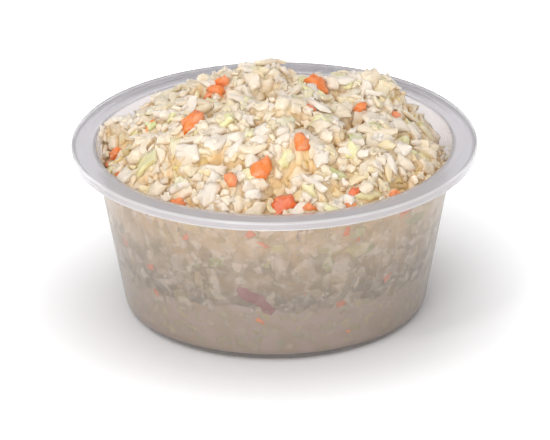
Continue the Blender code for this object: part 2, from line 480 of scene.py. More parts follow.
def height_under(tree, x, y):
    """Height of the first triangle met from above, or -1 where there is none."""
    hit = tree.ray_cast(Vector((x, y, 0.2)), Vector((0, 0, -1)))[0]
    return hit.z if hit else -1.0


def heights_round(tree, radius):
    """Heights under a ring of points, one for each bearing round the wall."""
    return np.array([height_under(tree, radius * math.cos(t), radius * math.sin(t)) for t in wall_turns])


coarse = np.arange(-HALF, HALF + 1e-9, COARSE)
heap_tree, pool_tree = tree_of("slaw"), tree_of("dressing")
coarse_top = np.array([[height_under(heap_tree, x, y) for y in coarse] for x in coarse])
wall_turns = np.linspace(-math.pi, math.pi, 181)
edge, pool_edge = heights_round(heap_tree, HEAP_REACH), heights_round(pool_tree, POOL_REACH)
# The heap's edge sags on the -X side, and the pool's is broken by ripples of two lengths.
edge -= 3.5 * MM * np.exp(-(((wall_turns % math.tau - math.pi) / 0.25) ** 2))
print("heap edge %.1f to %.1f mm" % (edge.min() / MM, edge.max() / MM))
pool_edge += 0.45 * MM * np.sin(17 * wall_turns + 2 * np.sin(5 * wall_turns))
pool_edge += 0.3 * MM * np.sin(41 * wall_turns + 3 * np.sin(9 * wall_turns))
print("pool edge %.1f to %.1f mm" % (pool_edge.min() / MM, pool_edge.max() / MM))

# %% Smooth fields
axis = np.arange(-HALF, HALF + 1e-9, PITCH)
GRID_X, GRID_Y = np.meshgrid(axis, axis, indexing="ij")
reach = np.hypot(GRID_X, GRID_Y)


def bilinear(field, step, low, x, y, wrap=False):
    """A field read between its grid points: the four nearest values, weighed by closeness."""
    i, j = (x - low[0]) / step, (y - low[1]) / step
    i0 = np.floor(i).astype(int)
    j0 = np.clip(np.floor(j).astype(int), 0, field.shape[1] - 2)
    u, v = i - i0, np.clip(j - j0, 0, 1)
    if wrap:
        i0, i1 = i0 % field.shape[0], (i0 + 1) % field.shape[0]
    else:
        i0 = np.clip(i0, 0, field.shape[0] - 2)
        i1 = i0 + 1
        u = np.clip(i - i0, 0, 1)
    near = field[i0, j0] * (1 - v) + field[i0, j0 + 1] * v
    far = field[i1, j0] * (1 - v) + field[i1, j0 + 1] * v
    return near * (1 - u) + far * u


def blurred(field, times):
    """The field averaged with its four neighbours, again and again."""
    for _ in range(times):
        wide = np.pad(field, 1, mode="edge")
        field = (field * 2 + wide[2:, 1:-1] + wide[:-2, 1:-1] + wide[1:-1, 2:] + wide[1:-1, :-2]) / 6
    return field


def grown(field, times):
    """Each value becomes the highest of itself and its neighbours, in a cross and then a square."""
    for step in range(times):
        wide = np.pad(field, 1, mode="edge")
        near = [wide[1:-1, 1:-1], wide[2:, 1:-1], wide[:-2, 1:-1], wide[1:-1, 2:], wide[1:-1, :-2]]
        if step % 2:
            near += [wide[2:, 2:], wide[:-2, 2:], wide[2:, :-2], wide[:-2, :-2]]
        field = np.max(near, axis=0)
    return field


def filled(field, x, y):
    """The field with its misses outside the heap taken from the heap's edge on the same bearing."""
    rim = np.interp(np.arctan2(y, x), wall_turns, edge)
    return np.where((field < 0) | (np.hypot(x, y) > HEAP_REACH), rim, field)


cx, cy = np.meshgrid(coarse, coarse, indexing="ij")
coarse_top = filled(coarse_top, cx, cy)
mound = blurred(bilinear(coarse_top, COARSE, (-HALF, -HALF), GRID_X, GRID_Y), 4)
print("mound top %.1f mm" % (mound.max() / MM))

# %% [markdown]
# ## Hollows
# A spooned heap isn't smooth: bits bridge small caves where the light turns golden. Each hollow is a
# soft dent in the height that the bits are filled up to.

# %% Hollows
# Each hollow: x and y of its middle, its radius and its depth, all in mm.
HOLLOWS = (
    (1.5, -33.5, 3.6, 6.0),
    (-27.0, -24.0, 4.2, 4.5),
    (17.0, -24.5, 2.6, 4.0),
    (-2.0, 0.5, 2.8, 4.5),
    (20.0, -6.0, 2.2, 3.0),
    (-12.0, -28.0, 2.0, 2.5),
    (9.0, -27.0, 2.0, 3.0),
    (27.0, -17.0, 2.4, 3.0),
    (-17.0, -4.0, 2.4, 2.5),
    (8.0, -14.0, 2.4, 2.5),
    (-22.0, -33.0, 2.4, 3.0),
    (31.0, -25.0, 2.0, 3.0),
    (-20.0, 22.0, 3.0, 3.0),
    (12.0, 26.0, 3.0, 3.5),
    (-34.0, 12.0, 2.6, 2.5),
    (34.0, 12.0, 2.6, 2.5),
    (-4.0, 30.0, 2.6, 3.0),
    (22.0, 20.0, 2.2, 2.5),
    (-4.0, 12.0, 8.0, 1.4),
    (-42.5, -3.0, 3.0, 6.0),
    (-41.0, 7.0, 3.0, 4.0),
)


def dented(field, dents):
    """The field less a bell-shaped dent for each hollow: depth exp(-distance^2 / (2 radius^2))."""
    for dent_x, dent_y, radius, depth in dents:
        away = ((GRID_X - dent_x * MM) ** 2 + (GRID_Y - dent_y * MM) ** 2) / (2 * (radius * MM) ** 2)
        field = field - depth * MM * np.exp(-away)
    return field


rng = np.random.default_rng(11)
CLUMPS, PITS = 90, 80


def scattered_dents(count, radius, depth):
    """Dents, or clumps where the depth is negative, scattered over the heap's round plan."""
    far, turn = 41.0 * np.sqrt(rng.uniform(0, 1, count)), rng.uniform(0, math.tau, count)
    size = rng.uniform(*radius, count), rng.uniform(*depth, count)
    return np.column_stack([far * np.cos(turn), far * np.sin(turn), *size])


raised = scattered_dents(CLUMPS, (1.8, 3.4), (-1.2, -0.3))
pitted = scattered_dents(PITS, (1.2, 2.2), (1.0, 2.8))
FILL_SHORT, BITS_DEEP = 0.8 * MM, 3.6 * MM
target = dented(dented(mound, HOLLOWS), np.concatenate([raised, pitted])) - FILL_SHORT
core_top = np.minimum(target, mound) - BITS_DEEP
print("deepest hollow %.1f mm" % ((mound - target).max() / MM))

# %% [markdown]
# ## Chopped bits
# A bit of cabbage or carrot is a thin or thick slab with a torn, uneven outline, and a shred is a bent
# strip. Both are closed grids: rows of points from one pole to the other, each row a loop. A whole
# kind is made at once, with the bits' number as the arrays' first axis.

# %% Torn outlines
def spread(low, high, count):
    """Evenly spread random numbers, one for each bit, as a column."""
    return rng.uniform(low, high, count)[:, None]


def torn_outline(count, corners, points, ragged):
    """Unit outlines: uneven polygons of a few corners, each edge cut into short uneven lengths.

    A corner lies at an angle and a radius near those of a regular polygon; a point on an edge is a
    straight blend of its two corners, pushed in or out by up to the raggedness."""
    turn = (np.arange(corners) + rng.uniform(-0.27, 0.27, (count, corners))) * math.tau / corners
    turn = turn + spread(0, math.tau, count)
    far = rng.uniform(0.78, 1.12, (count, corners))
    shape = np.stack([far * np.cos(turn), far * np.sin(turn)], -1)
    each = points // corners
    blend = (np.arange(points) % each / each)[:, None]
    start = shape[:, np.arange(points) // each]
    end = shape[:, (np.arange(points) // each + 1) % corners]
    outline = start * (1 - blend) + end * blend
    push = 1 + rng.uniform(-ragged, ragged, (count, points, 1)) * (blend > 0)
    return outline * push


# %% Slabs
def slabs(count, length, width, thick, corners, ragged, curl, ruffle, section, points=12, hollow=0.0):
    """Slabs: each row is the outline times a share, at a share of half the thickness.

    Height is then bent by curl x^2 + curl' y^2 + twist xy, and rippled near the edge."""
    outline = torn_outline(count, corners, points, ragged)
    share, rise = np.array(section)[:, 0], np.array(section)[:, 1]
    half = np.stack([rng.uniform(*length, count), rng.uniform(*width, count)], -1)[:, None, None] / 2 * MM
    flat = outline[:, None] * share[None, :, None, None] * half
    flat = flat * (1 + rng.uniform(-0.09, 0.09, (count, len(section), points, 1)))
    slab = rng.uniform(*thick, count)[:, None, None] / 2 * MM
    uneven = 1 + rng.uniform(-0.3, 0.3, (count, len(section), points))
    z = slab * rise[None, :, None] * uneven + 0 * flat[..., 0]
    x, y = flat[..., 0], flat[..., 1]
    bend = rng.normal(0, curl, (3, count, 1, 1)) / MM
    bend[:2] += hollow / MM
    z = z + bend[0] * x**2 + bend[1] * y**2 + bend[2] * x * y
    way = spread(0, math.tau, count)[:, :, None]
    wave = (x * np.cos(way) + y * np.sin(way)) / (rng.uniform(2.4, 4.2, (count, 1, 1)) * MM) * math.tau
    z = z + ruffle * MM * np.sin(wave + spread(0, 6, count)[:, :, None]) * share[None, :, None] ** 2
    rows = np.stack([x, y, z], -1)
    first = rows[:, 0].mean(1, keepdims=True)
    last = rows[:, -1].mean(1, keepdims=True)
    grid = rows.reshape(count, -1, 3)
    rings = len(section)
    column = np.minimum(np.arange(rings), rings - 1 - np.arange(rings))[:, None] * points + np.arange(points)
    column = np.concatenate([[column.max() + 1], column.ravel(), [column.max() + 1]])
    grid = np.concatenate([first, grid, last], 1)
    return {"points": grid, "rows": rings, "columns": points, "pair": column}


# %% Strips
def strips(count, length, width, thick, bow, stations=6, around=6):
    """Strips: a flattened loop carried along a bowed line, narrower at both ends.

    Across: y = width/2 sin a, z = thickness/2 cos a. Along: x in even steps, y and z bowed by x^2."""
    s = np.linspace(-1, 1, stations)[None, :, None]
    a = (np.arange(around) * math.tau / around)[None, None, :]
    size = [rng.uniform(*pair, count)[:, None, None] / 2 * MM for pair in (length, width, thick)]
    taper = 1 - rng.uniform(0.15, 0.6, (count, 1, 1)) * np.abs(s) ** 3
    taper = taper * (1 + rng.uniform(-0.22, 0.22, (count, stations, 1)))
    box = np.sign(np.sin(a)) * np.abs(np.sin(a)) ** 0.6
    lid = np.sign(np.cos(a)) * np.abs(np.cos(a)) ** 0.6
    x = size[0] * s + 0 * a + rng.uniform(-0.2, 0.2, (count, stations, around)) * MM
    y = size[1] * taper * box
    z = size[2] * taper * lid
    bend = rng.normal(0, bow, (3, count, 1, 1)) * MM
    y = y + bend[0] * s**2 + bend[2] * s**3
    z = z + bend[1] * s**2 * 0.7
    rows = np.stack([x, y, z], -1)
    first = rows[:, 0].mean(1, keepdims=True)
    last = rows[:, -1].mean(1, keepdims=True)
    pair = np.concatenate([[0], np.repeat(np.arange(stations), around), [stations - 1]])
    grid = np.concatenate([first, rows.reshape(count, -1, 3), last], 1)
    return {"points": grid, "rows": stations, "columns": around, "pair": pair}


# %% Sections of slabs
# Each point is a share of the outline's reach and a share of half the thickness, from the top face
# round the edge to the bottom face.
CHUNKY = [(0.5, 1.0), (0.95, 0.62), (1.0, -0.1), (0.85, -0.75), (0.45, -1.0)]
LEAFY = [(0.5, 1.0), (0.86, 0.85), (1.0, 0.0), (0.86, -0.85), (0.5, -1.0)]
TINY = [(0.6, 0.95), (1.0, 0.3), (0.95, -0.4), (0.55, -0.95)]

# %% [markdown]
# ## Settling
# Random placing looks wrong at once, because bits would hang in the air or sink into each other. So
# a bed of heights is kept for the whole heap. Each bit picks the lowest of a few random spots, turns
# to lie along the slope with some tilt, comes down until it touches, sags a little into the gaps
# below it, and is then written into the bed for the next one.

# %% The bed of heights
class Bed:
    """A grid of heights over two flat coordinates; the first may wrap round, as round the wall."""

    def __init__(self, level, low, pitch, wrap=False):
        self.level, self.low, self.pitch, self.wrap = level.copy(), low, pitch, wrap

    def cells(self, a, b):
        """Grid cells of flat coordinates."""
        i = np.rint((a - self.low[0]) / self.pitch).astype(int)
        j = np.clip(np.rint((b - self.low[1]) / self.pitch).astype(int), 0, self.level.shape[1] - 1)
        if self.wrap:
            return i % self.level.shape[0], j
        return np.clip(i, 0, self.level.shape[0] - 1), j

    def read(self, a, b):
        """Heights at flat coordinates."""
        return self.level[self.cells(a, b)]

    def write(self, points):
        """Raises the bed to a bit's points."""
        np.maximum.at(self.level, self.cells(points[:, 0], points[:, 1]), points[:, 2])


# %% Points all over a bit
def dense_sampler(rows, columns, fine=3):
    """A matrix that turns a bit's points into many points all over its surface."""
    r = np.linspace(0, rows - 1, (rows - 1) * fine + 1)
    c = np.arange(columns * fine) / fine
    r, c = [g.ravel() for g in np.meshgrid(r, c, indexing="ij")]
    r0, c0 = np.minimum(r.astype(int), rows - 2), c.astype(int)
    u, v = r - r0, c - c0
    matrix = np.zeros((len(r) + 2, rows * columns + 2))
    index = np.arange(len(r))
    for dr, wr in ((0, 1 - u), (1, u)):
        for dc, wc in ((0, 1 - v), (1, v)):
            np.add.at(matrix, (index, 1 + (r0 + dr) * columns + (c0 + dc) % columns), wr * wc)
    matrix[-2, 0] = matrix[-1, -1] = 1
    return matrix


def turned_to(normal, yaw, lean, lean_way):
    """A rotation: yaw about Z, then a lean about a level line, then Z carried onto the normal."""
    spin = Matrix.Rotation(yaw, 3, "Z")
    tip = Matrix.Rotation(lean, 3, Vector((math.cos(lean_way), math.sin(lean_way), 0)))
    lay = Vector((0, 0, 1)).rotation_difference(Vector(normal)).to_matrix()
    return np.array(lay @ tip @ spin)


# %% Settling
STEEPEST, STANDS_OUT, SAG = 0.9, 1.7 * MM, 1.2 * MM


def settle(bed, kind, goal, slope, spots, lean, sink, give, chosen=None):
    """Drops a kind's bits on the bed while there is room under the goal. Returns the placed bits'
    points in the bed's coordinates, and which bits those are.

    goal: a grid of heights to fill up to. spots: a function that gives random flat places. lean: the
    spread of tilts in radians. sink: how far a bit presses in. give: the share of a gap it sags.
    chosen: places and yaws given instead, which are filled whatever the goal says."""
    shapes = kind["points"]
    sampler = dense_sampler(kind["rows"], kind["columns"])
    pair, groups = kind["pair"], kind["pair"].max() + 1
    thick = 0.5 * np.ptp(shapes[:, :, 2], axis=1)
    soft = max(2, shapes.shape[1] // 9)
    placed, kept = [], []
    for n, shape in enumerate(shapes):
        if chosen is not None:
            a, b = chosen[n][:2]
        else:
            a, b = spots(12)
            cell = bed.cells(a, b)
            room = goal[cell] - bed.level[cell]
            best = np.argmax(room)
            if room[best] < thick[n]:
                continue
            a, b = a[best], b[best]
        cell = bed.cells(a, b)
        normal = np.array([-slope[0][cell], -slope[1][cell], 1.0])
        yaw = rng.uniform(0, math.tau) if chosen is None or len(chosen[n]) < 3 else chosen[n][2]
        tilt = abs(rng.normal(0, lean))
        lean_way = rng.uniform(0, math.tau)
        turn = turned_to(normal / np.linalg.norm(normal), yaw, min(tilt, STEEPEST), lean_way)
        bit = shape @ turn.T
        bit[:, 0] += a
        bit[:, 1] += b
        below = bed.read(bit[:, 0], bit[:, 1])
        need = below - bit[:, 2]
        bit[:, 2] += np.partition(need, -soft)[-soft] - sink
        gap = np.full(groups, np.inf)
        np.minimum.at(gap, pair, bit[:, 2] - below)
        bit[:, 2] -= give * np.clip(gap, 0, SAG)[pair]
        high = bit[:, 2].mean() > goal[cell] - 0.2 * thick[n] or bit[:, 2].max() > goal[cell] + STANDS_OUT
        if chosen is None and high:
            continue
        bed.write(sampler @ bit)
        placed.append(bit)
        kept.append(n)
    return np.array(placed).reshape(-1, *shapes.shape[1:]), np.array(kept, dtype=int)


def slope_of(field, pitch, times):
    """The blurred field's slope along its two coordinates."""
    soft = blurred(field, times)
    return np.gradient(soft, pitch, axis=0), np.gradient(soft, pitch, axis=1)


# %% Tints
WHITE, CREAM, STRAW = (0.89, 0.80, 0.715), (0.90, 0.765, 0.59), (0.90, 0.75, 0.46)
PALE_GREEN, GREEN = (0.86, 0.82, 0.47), (0.66, 0.69, 0.34)
ORANGE, DEEP_ORANGE, PINK_ORANGE = (0.94, 0.28, 0.06), (0.82, 0.16, 0.03), (0.94, 0.36, 0.17)
DUSKY_RED, OLIVE = (0.42, 0.10, 0.08), (0.56, 0.50, 0.38)


def tints(count, colours, shares):
    """One colour for each bit: picked by share, then moved part of the way to another pick."""
    palette = np.array(colours)
    first = palette[rng.choice(len(palette), count, p=shares)]
    second = palette[rng.choice(len(palette), count, p=shares)]
    part = rng.uniform(0, 0.45, (count, 1))
    return (first * (1 - part) + second * part) * rng.uniform(0.95, 1.0, (count, 1))


quick_share = 1.0


def count_of(number):
    return int(number * quick_share)


def drop_kind(recipe, settle_batch, share=1.0):
    """Makes a kind of bit, settles it, and adds it to the batches it is joined with later.

    A recipe says: the list of batches, the maker, the number of bits, the maker's other values, the
    colours and their shares, the spread of tilts, how many mm a bit sinks in, and how much it sags."""
    batches, maker, number, form, colours, shares, lean, sink, give = recipe
    kind = maker(count_of(number * share), *form)
    tint = tints(len(kind["points"]), colours, shares)
    batches.append(settle_batch(kind, tint, lean, sink * MM, give))


print("share of the bits made:", quick_share)

# %% [markdown]
# ## Bits pressed against the wall
# Through the plastic one sees the bits that lie against it. The same settling does this in the
# wall's own coordinates: distance round it, height up it, and depth inwards. "Down" is then outwards,
# so the first bits come to rest flat on the plastic and the later ones fill the gaps behind them.

# %% The wall's bed
ROUND = 41.0 * MM
WALL_PITCH = 0.35 * MM
around_count = int(round(math.tau * ROUND / WALL_PITCH))
WALL_PITCH = math.tau * ROUND / around_count
up_count = int(46 * MM / WALL_PITCH)
wall_bed = Bed(np.zeros((around_count, up_count)), (-math.pi * ROUND, 0.0), WALL_PITCH, wrap=True)
wall_goal = np.zeros_like(wall_bed.level) + 3.0 * MM
wall_slope = (np.zeros_like(wall_goal), np.zeros_like(wall_goal))


def edge_at(turn):
    """Height of the heap's edge at a bearing."""
    return np.interp((turn + math.pi) % math.tau - math.pi, wall_turns, edge)


def pool_at(turn):
    """Height of the pool's surface at the wall at a bearing."""
    return np.interp((turn + math.pi) % math.tau - math.pi, wall_turns, pool_edge)


def wall_spots(count):
    """Random places on the wall between the pool and the heap's edge."""
    turn = rng.uniform(-math.pi, math.pi, count)
    low, high = pool_at(turn) - 1.0 * MM, edge_at(turn) - 0.3 * MM
    return turn * ROUND, low + (high - low) * rng.uniform(0, 1, count)


def from_wall(points, into):
    """Wall coordinates to x, y, z. What is pressed past the plastic's face is flattened just inside
    it: depth below the bit's own limit is cut off there."""
    turn = points[..., 0] / ROUND
    z = np.maximum(points[..., 1], FLOOR_INSIDE + 0.2 * MM)
    depth = np.maximum(points[..., 2], into)
    radius = inner_radius(z) - depth
    return np.stack([radius * np.cos(turn), radius * np.sin(turn), z], -1)


# %% The cup's milky part
# Only the wall that food has wetted is clear. The dry band above it is broadest on the +Y side.
cup_turn = np.arctan2(cup_middles[:, 1], cup_middles[:, 0])
cup_reach = np.hypot(cup_middles[:, 0], cup_middles[:, 1])
dry_from = edge_at(cup_turn) - 1.8 * MM * (1 + np.sin(cup_turn))
milky = (cup_reach > WALL_TOP + 0.3 * MM) | (cup_middles[:, 2] > dry_from)
cup.data.materials.append(FLANGE_PLASTIC)
cup.data.polygons.foreach_set("material_index", milky.astype(np.int32))
print("milky faces:", milky.sum(), "of", len(milky))

# %% Bits at the wall
def wall_batch(kind, tint, lean, sink, give):
    """Settles a kind on the wall's bed and brings it into the cup."""
    placed, kept = settle(wall_bed, kind, wall_goal, wall_slope, wall_spots, lean, sink, give)
    under = placed[..., 1].max(1) < edge_at(placed[..., 0].mean(1) / ROUND) + 0.6 * MM
    placed, kept = placed[under], kept[under]
    into = -rng.uniform(0.08, 0.18, (len(placed), 1)) * MM
    return from_wall(placed, into), dict(kind, points=kind["points"][kept]), tint[kept]


def pressed(bed, kind, tint, bearing, height, yaw, into):
    """One bit pressed on the wall at a bearing in degrees, a height in mm and a turn in radians."""
    spot = [(math.radians(bearing) * ROUND, height * MM, yaw)]
    placed, kept = settle(bed, kind, wall_goal, wall_slope, None, 0.06, 0.55 * MM, 0.7, chosen=spot)
    return from_wall(placed, -into * MM), kind, tint


wall_ribs, wall_leaves, wall_strips, wall_crumbs, wall_carrots = [], [], [], [], []

# %% Pieces that show best through the wall
# Bearing in degrees, height in mm, turn in radians, length and width in mm, and colour.
WALL_SPOTS = (
    (-98, 37.0, 0.8, 3.6, 3.0, ORANGE),
    (-94, 34.0, -0.6, 4.4, 1.4, PINK_ORANGE),
    (-121, 33.5, 0.9, 3.6, 2.4, PINK_ORANGE),
    (-153, 24.5, -0.9, 3.6, 2.6, PINK_ORANGE),
    (-66, 36.0, 1.2, 3.2, 2.8, ORANGE),
    (-43, 36.6, 0.3, 6.4, 3.0, PINK_ORANGE),
    (-47, 19.0, 1.1, 4.0, 3.4, PINK_ORANGE),
    (-110, 28.0, 0.4, 6.0, 4.4, GREEN),
    (-118, 26.0, 0.2, 3.0, 2.4, GREEN),
    (-72, 27.0, 1.4, 6.6, 4.6, GREEN),
    (-62, 35.0, 0.4, 5.6, 3.6, GREEN),
    (-57, 29.0, 0.9, 4.4, 3.0, GREEN),
    (60, 30.0, 0.8, 4.0, 3.0, ORANGE),
    (100, 24.0, 0.2, 4.4, 2.6, PINK_ORANGE),
    (140, 33.0, 1.0, 3.8, 2.8, ORANGE),
    (20, 22.0, 0.5, 4.0, 3.2, PINK_ORANGE),
    (170, 20.0, 0.5, 4.2, 2.4, ORANGE),
)


SHOWN_PRESS, DUSKY_PRESS, OLIVE_PRESS = 0.21, 0.23, 0.14
for bearing, height, yaw, long, wide, colour in WALL_SPOTS:
    kind = slabs(1, (long, long), (wide, wide), (1.0, 1.8), 4, 0.12, 0.01, 0.05, CHUNKY)
    batch = pressed(wall_bed, kind, tints(1, (colour,), (1,)), bearing, height, yaw, SHOWN_PRESS)
    (wall_leaves if colour is GREEN else wall_carrots).append(batch)
dusky = strips(1, (13.0, 13.0), (3.2, 3.2), (0.8, 0.8), 0.0, 12, 6)
dusky["points"][0, :, 1] += 0.5 * MM * np.sin(dusky["points"][0, :, 0] / (1.1 * MM))
batch = pressed(wall_bed, dusky, tints(1, (DUSKY_RED,), (1,)), -98, 18.4, -0.62, DUSKY_PRESS)
wall_carrots.append(batch)
# Dark olive leaves pressed low on the wall, their colour a painted shade for the dark voids there.
OLIVE_SHADE_SPOTS = (
    (-79, 17.5, 0.15, 9.5, 4.6),
    (-118, 15.8, -0.2, 6.0, 3.0),
    (-60, 18.5, 0.3, 6.0, 2.0),
    (-133, 17.5, -0.5, 5.0, 2.4),
)
for bearing, height, yaw, long, wide in OLIVE_SHADE_SPOTS:
    kind = slabs(1, (long, long), (wide, wide), (1.0, 1.4), 5, 0.12, 0.01, 0.05, LEAFY, 20)
    batch = pressed(wall_bed, kind, tints(1, (OLIVE,), (1,)), bearing, height, yaw, OLIVE_PRESS)
    wall_leaves.append(batch)
print("pieces placed by hand at the wall:", len(WALL_SPOTS) + 1 + len(OLIVE_SHADE_SPOTS))

# %% Bits at the wall, kind by kind
PLAIN, WITH_PALE = (WHITE, CREAM, STRAW), (WHITE, CREAM, STRAW, PALE_GREEN)
WITH_GREEN, CARROTS = (WHITE, CREAM, STRAW, PALE_GREEN, GREEN), (ORANGE, DEEP_ORANGE, PINK_ORANGE)
WALL_KINDS = (
    (wall_leaves, slabs, 110, ((5.0, 10.5), (3.8, 7.0), (0.7, 1.1), 4, 0.22, 0.02, 0.25, LEAFY, 12),
     WITH_GREEN, (0.25, 0.45, 0.18, 0.1, 0.02), 0.35, 0.8, 0.3),
    (wall_ribs, slabs, 100, ((3.4, 7.0), (2.6, 4.8), (1.4, 2.6), 4, 0.08, 0.012, 0.05, CHUNKY),
     PLAIN, (0.5, 0.4, 0.1), 0.5, 1.0, 0.15),
    (wall_strips, strips, 50, ((6.0, 11.0), (1.6, 2.8), (0.9, 1.5), 0.7),
     PLAIN, (0.45, 0.4, 0.15), 0.3, 0.7, 0.3),
    (wall_carrots, slabs, 9, ((2.6, 4.6), (1.8, 3.2), (1.0, 2.0), 4, 0.06, 0.01, 0.03, CHUNKY),
     CARROTS, (0.5, 0.2, 0.3), 0.3, 0.6, 0.2),
    (wall_crumbs, slabs, 260, ((1.3, 2.8), (1.0, 2.0), (0.6, 1.3), 4, 0.1, 0.02, 0.05, TINY, 8),
     WITH_PALE, (0.3, 0.4, 0.2, 0.1), 0.4, 0.5, 0.3),
)
for stage in range(4):
    for recipe in WALL_KINDS:
        drop_kind(recipe, wall_batch)
    newest = [len(batches[-1][0]) for batches in (wall_leaves, wall_ribs, wall_strips, wall_crumbs)]
    print("stage", stage, "placed", newest)
print("wall filled to %.1f mm deep on average" % (wall_bed.level[:, 60:100].mean() / MM))

# %% [markdown]
# ## Bits of the heap
# The same settling, from above, on the core: leaf scraps and shreds first and last, chunky rib
# pieces between them, and crumbs in the gaps. Carrot chips come in at every depth.

# %% Heap bits
heap_bed = Bed(core_top, (-HALF, -HALF), PITCH)
heap_goal = target
heap_slope = slope_of(target, PITCH, 60)


def heap_spots(count):
    """Random places evenly spread over the heap's round plan."""
    far = HEAP_REACH * np.sqrt(rng.uniform(0, 1, count))
    turn = rng.uniform(-math.pi, math.pi, count)
    return far * np.cos(turn), far * np.sin(turn)


def inside_wall(points):
    """Points past the wall's inner face are drawn back to just inside the plastic."""
    out = np.hypot(points[..., 0], points[..., 1])
    limit = inner_radius(np.minimum(points[..., 2], CUP_HEIGHT)) + 0.04 * MM
    share = np.minimum(1.0, limit / np.maximum(out, 1e-9))
    points = points.copy()
    points[..., :2] *= share[..., None]
    return points


def heap_batch(kind, tint, lean, sink, give, chosen=None):
    """Settles a kind on the heap and keeps it inside the cup."""
    placed, kept = settle(heap_bed, kind, heap_goal, heap_slope, heap_spots, lean, sink, give, chosen)
    return inside_wall(placed), dict(kind, points=kind["points"][kept]), tint[kept]


ribs, leaves, shreds, crumbs, carrots = [], [], [], [], []


HEAP_KINDS = (
    (leaves, slabs, 26, ((9.0, 14.0), (6.5, 10.0), (1.0, 1.7), 5, 0.18, 0.012, 0.5, LEAFY, 15, -0.03),
     WITH_PALE, (0.35, 0.40, 0.10, 0.15), 0.4, 0.7, 0.35),
    (leaves, slabs, 130, ((5.0, 10.0), (4.0, 7.2), (1.0, 1.8), 4, 0.28, 0.04, 0.5, LEAFY, 12),
     WITH_GREEN, (0.34, 0.42, 0.11, 0.11, 0.02), 0.55, 0.6, 0.35),
    (ribs, slabs, 90, ((4.0, 8.5), (3.2, 6.0), (1.8, 3.4), 4, 0.2, 0.02, 0.25, CHUNKY),
     PLAIN, (0.58, 0.36, 0.06), 0.6, 0.7, 0.25),
    (shreds, strips, 45, ((6.0, 11.0), (1.6, 3.0), (1.0, 1.8), 0.8),
     PLAIN, (0.55, 0.36, 0.09), 0.4, 0.5, 0.4),
    (carrots, slabs, 7, ((2.8, 5.4), (2.2, 4.0), (1.4, 2.6), 4, 0.06, 0.01, 0.05, CHUNKY),
     CARROTS, (0.6, 0.15, 0.25), 0.6, 0.4, 0.1),
    (crumbs, slabs, 150, ((1.8, 4.0), (1.5, 3.0), (1.0, 2.0), 4, 0.14, 0.02, 0.08, TINY, 8),
     WITH_PALE, (0.40, 0.42, 0.12, 0.06), 0.7, 0.3, 0.2),
)
THIN_SCRAPS = (
    leaves, slabs, 600, ((2.6, 6.6), (2.2, 4.8), (0.8, 1.3), 4, 0.3, 0.05, 0.45, LEAFY, 12),
    WITH_PALE, (0.3, 0.42, 0.13, 0.15), 0.35, 0.6, 0.5,
)


def heap_stage(share=1.0):
    """One round of every kind of bit, largest first."""
    for recipe in HEAP_KINDS:
        drop_kind(recipe, heap_batch, share)
    print("placed", [len(batches[-1][0]) for batches in (leaves, ribs, shreds, carrots, crumbs)])


for stage in range(6):
    heap_stage()
print("heap so far %.1f mm over the goal" % ((heap_bed.level - heap_goal)[reach < 40 * MM].mean() / MM))

# %% The carrot chips that show best
# Place in x and y in mm, turn in radians, length and width in mm.
CARROT_SPOTS = (
    (-20.2, -10.1, 0.9, 8.6, 6.4),
    (-39.0, -0.5, 0.2, 3.8, 3.0),
    (-14.3, 6.7, 2.4, 6.4, 3.0),
    (-12.5, 9.5, 0.3, 4.0, 2.6),
    (10.6, 8.0, -0.5, 8.6, 6.0),
    (21.5, -0.2, 0.6, 4.2, 2.4),
    (6.7, -22.9, 0.3, 6.4, 5.0),
    (-3.2, -28.6, 1.2, 7.6, 5.2),
    (2.0, -35.2, 0.9, 8.6, 7.0),
    (-23.6, -32.5, 0.4, 5.0, 4.2),
    (-10.6, -33.6, 2.0, 4.6, 3.4),
    (8.4, -39.0, -0.3, 4.0, 2.6),
    (29.2, -29.9, 0.2, 3.2, 2.0),
)
SET_IN = 1.1 * MM
for spot_x, spot_y, yaw, long, wide in CARROT_SPOTS:
    kind = slabs(1, (long, long), (wide, wide), (2.2, 3.2), 5, 0.1, 0.01, 0.15, CHUNKY, 15)
    tint = tints(1, (DEEP_ORANGE if long > 8.5 and spot_y < -30 else ORANGE,), (1,))
    carrots.append(heap_batch(kind, tint, 0.35, SET_IN, 0.3, [(spot_x * MM, spot_y * MM, yaw)]))
print("carrot chips placed by hand:", len(CARROT_SPOTS))

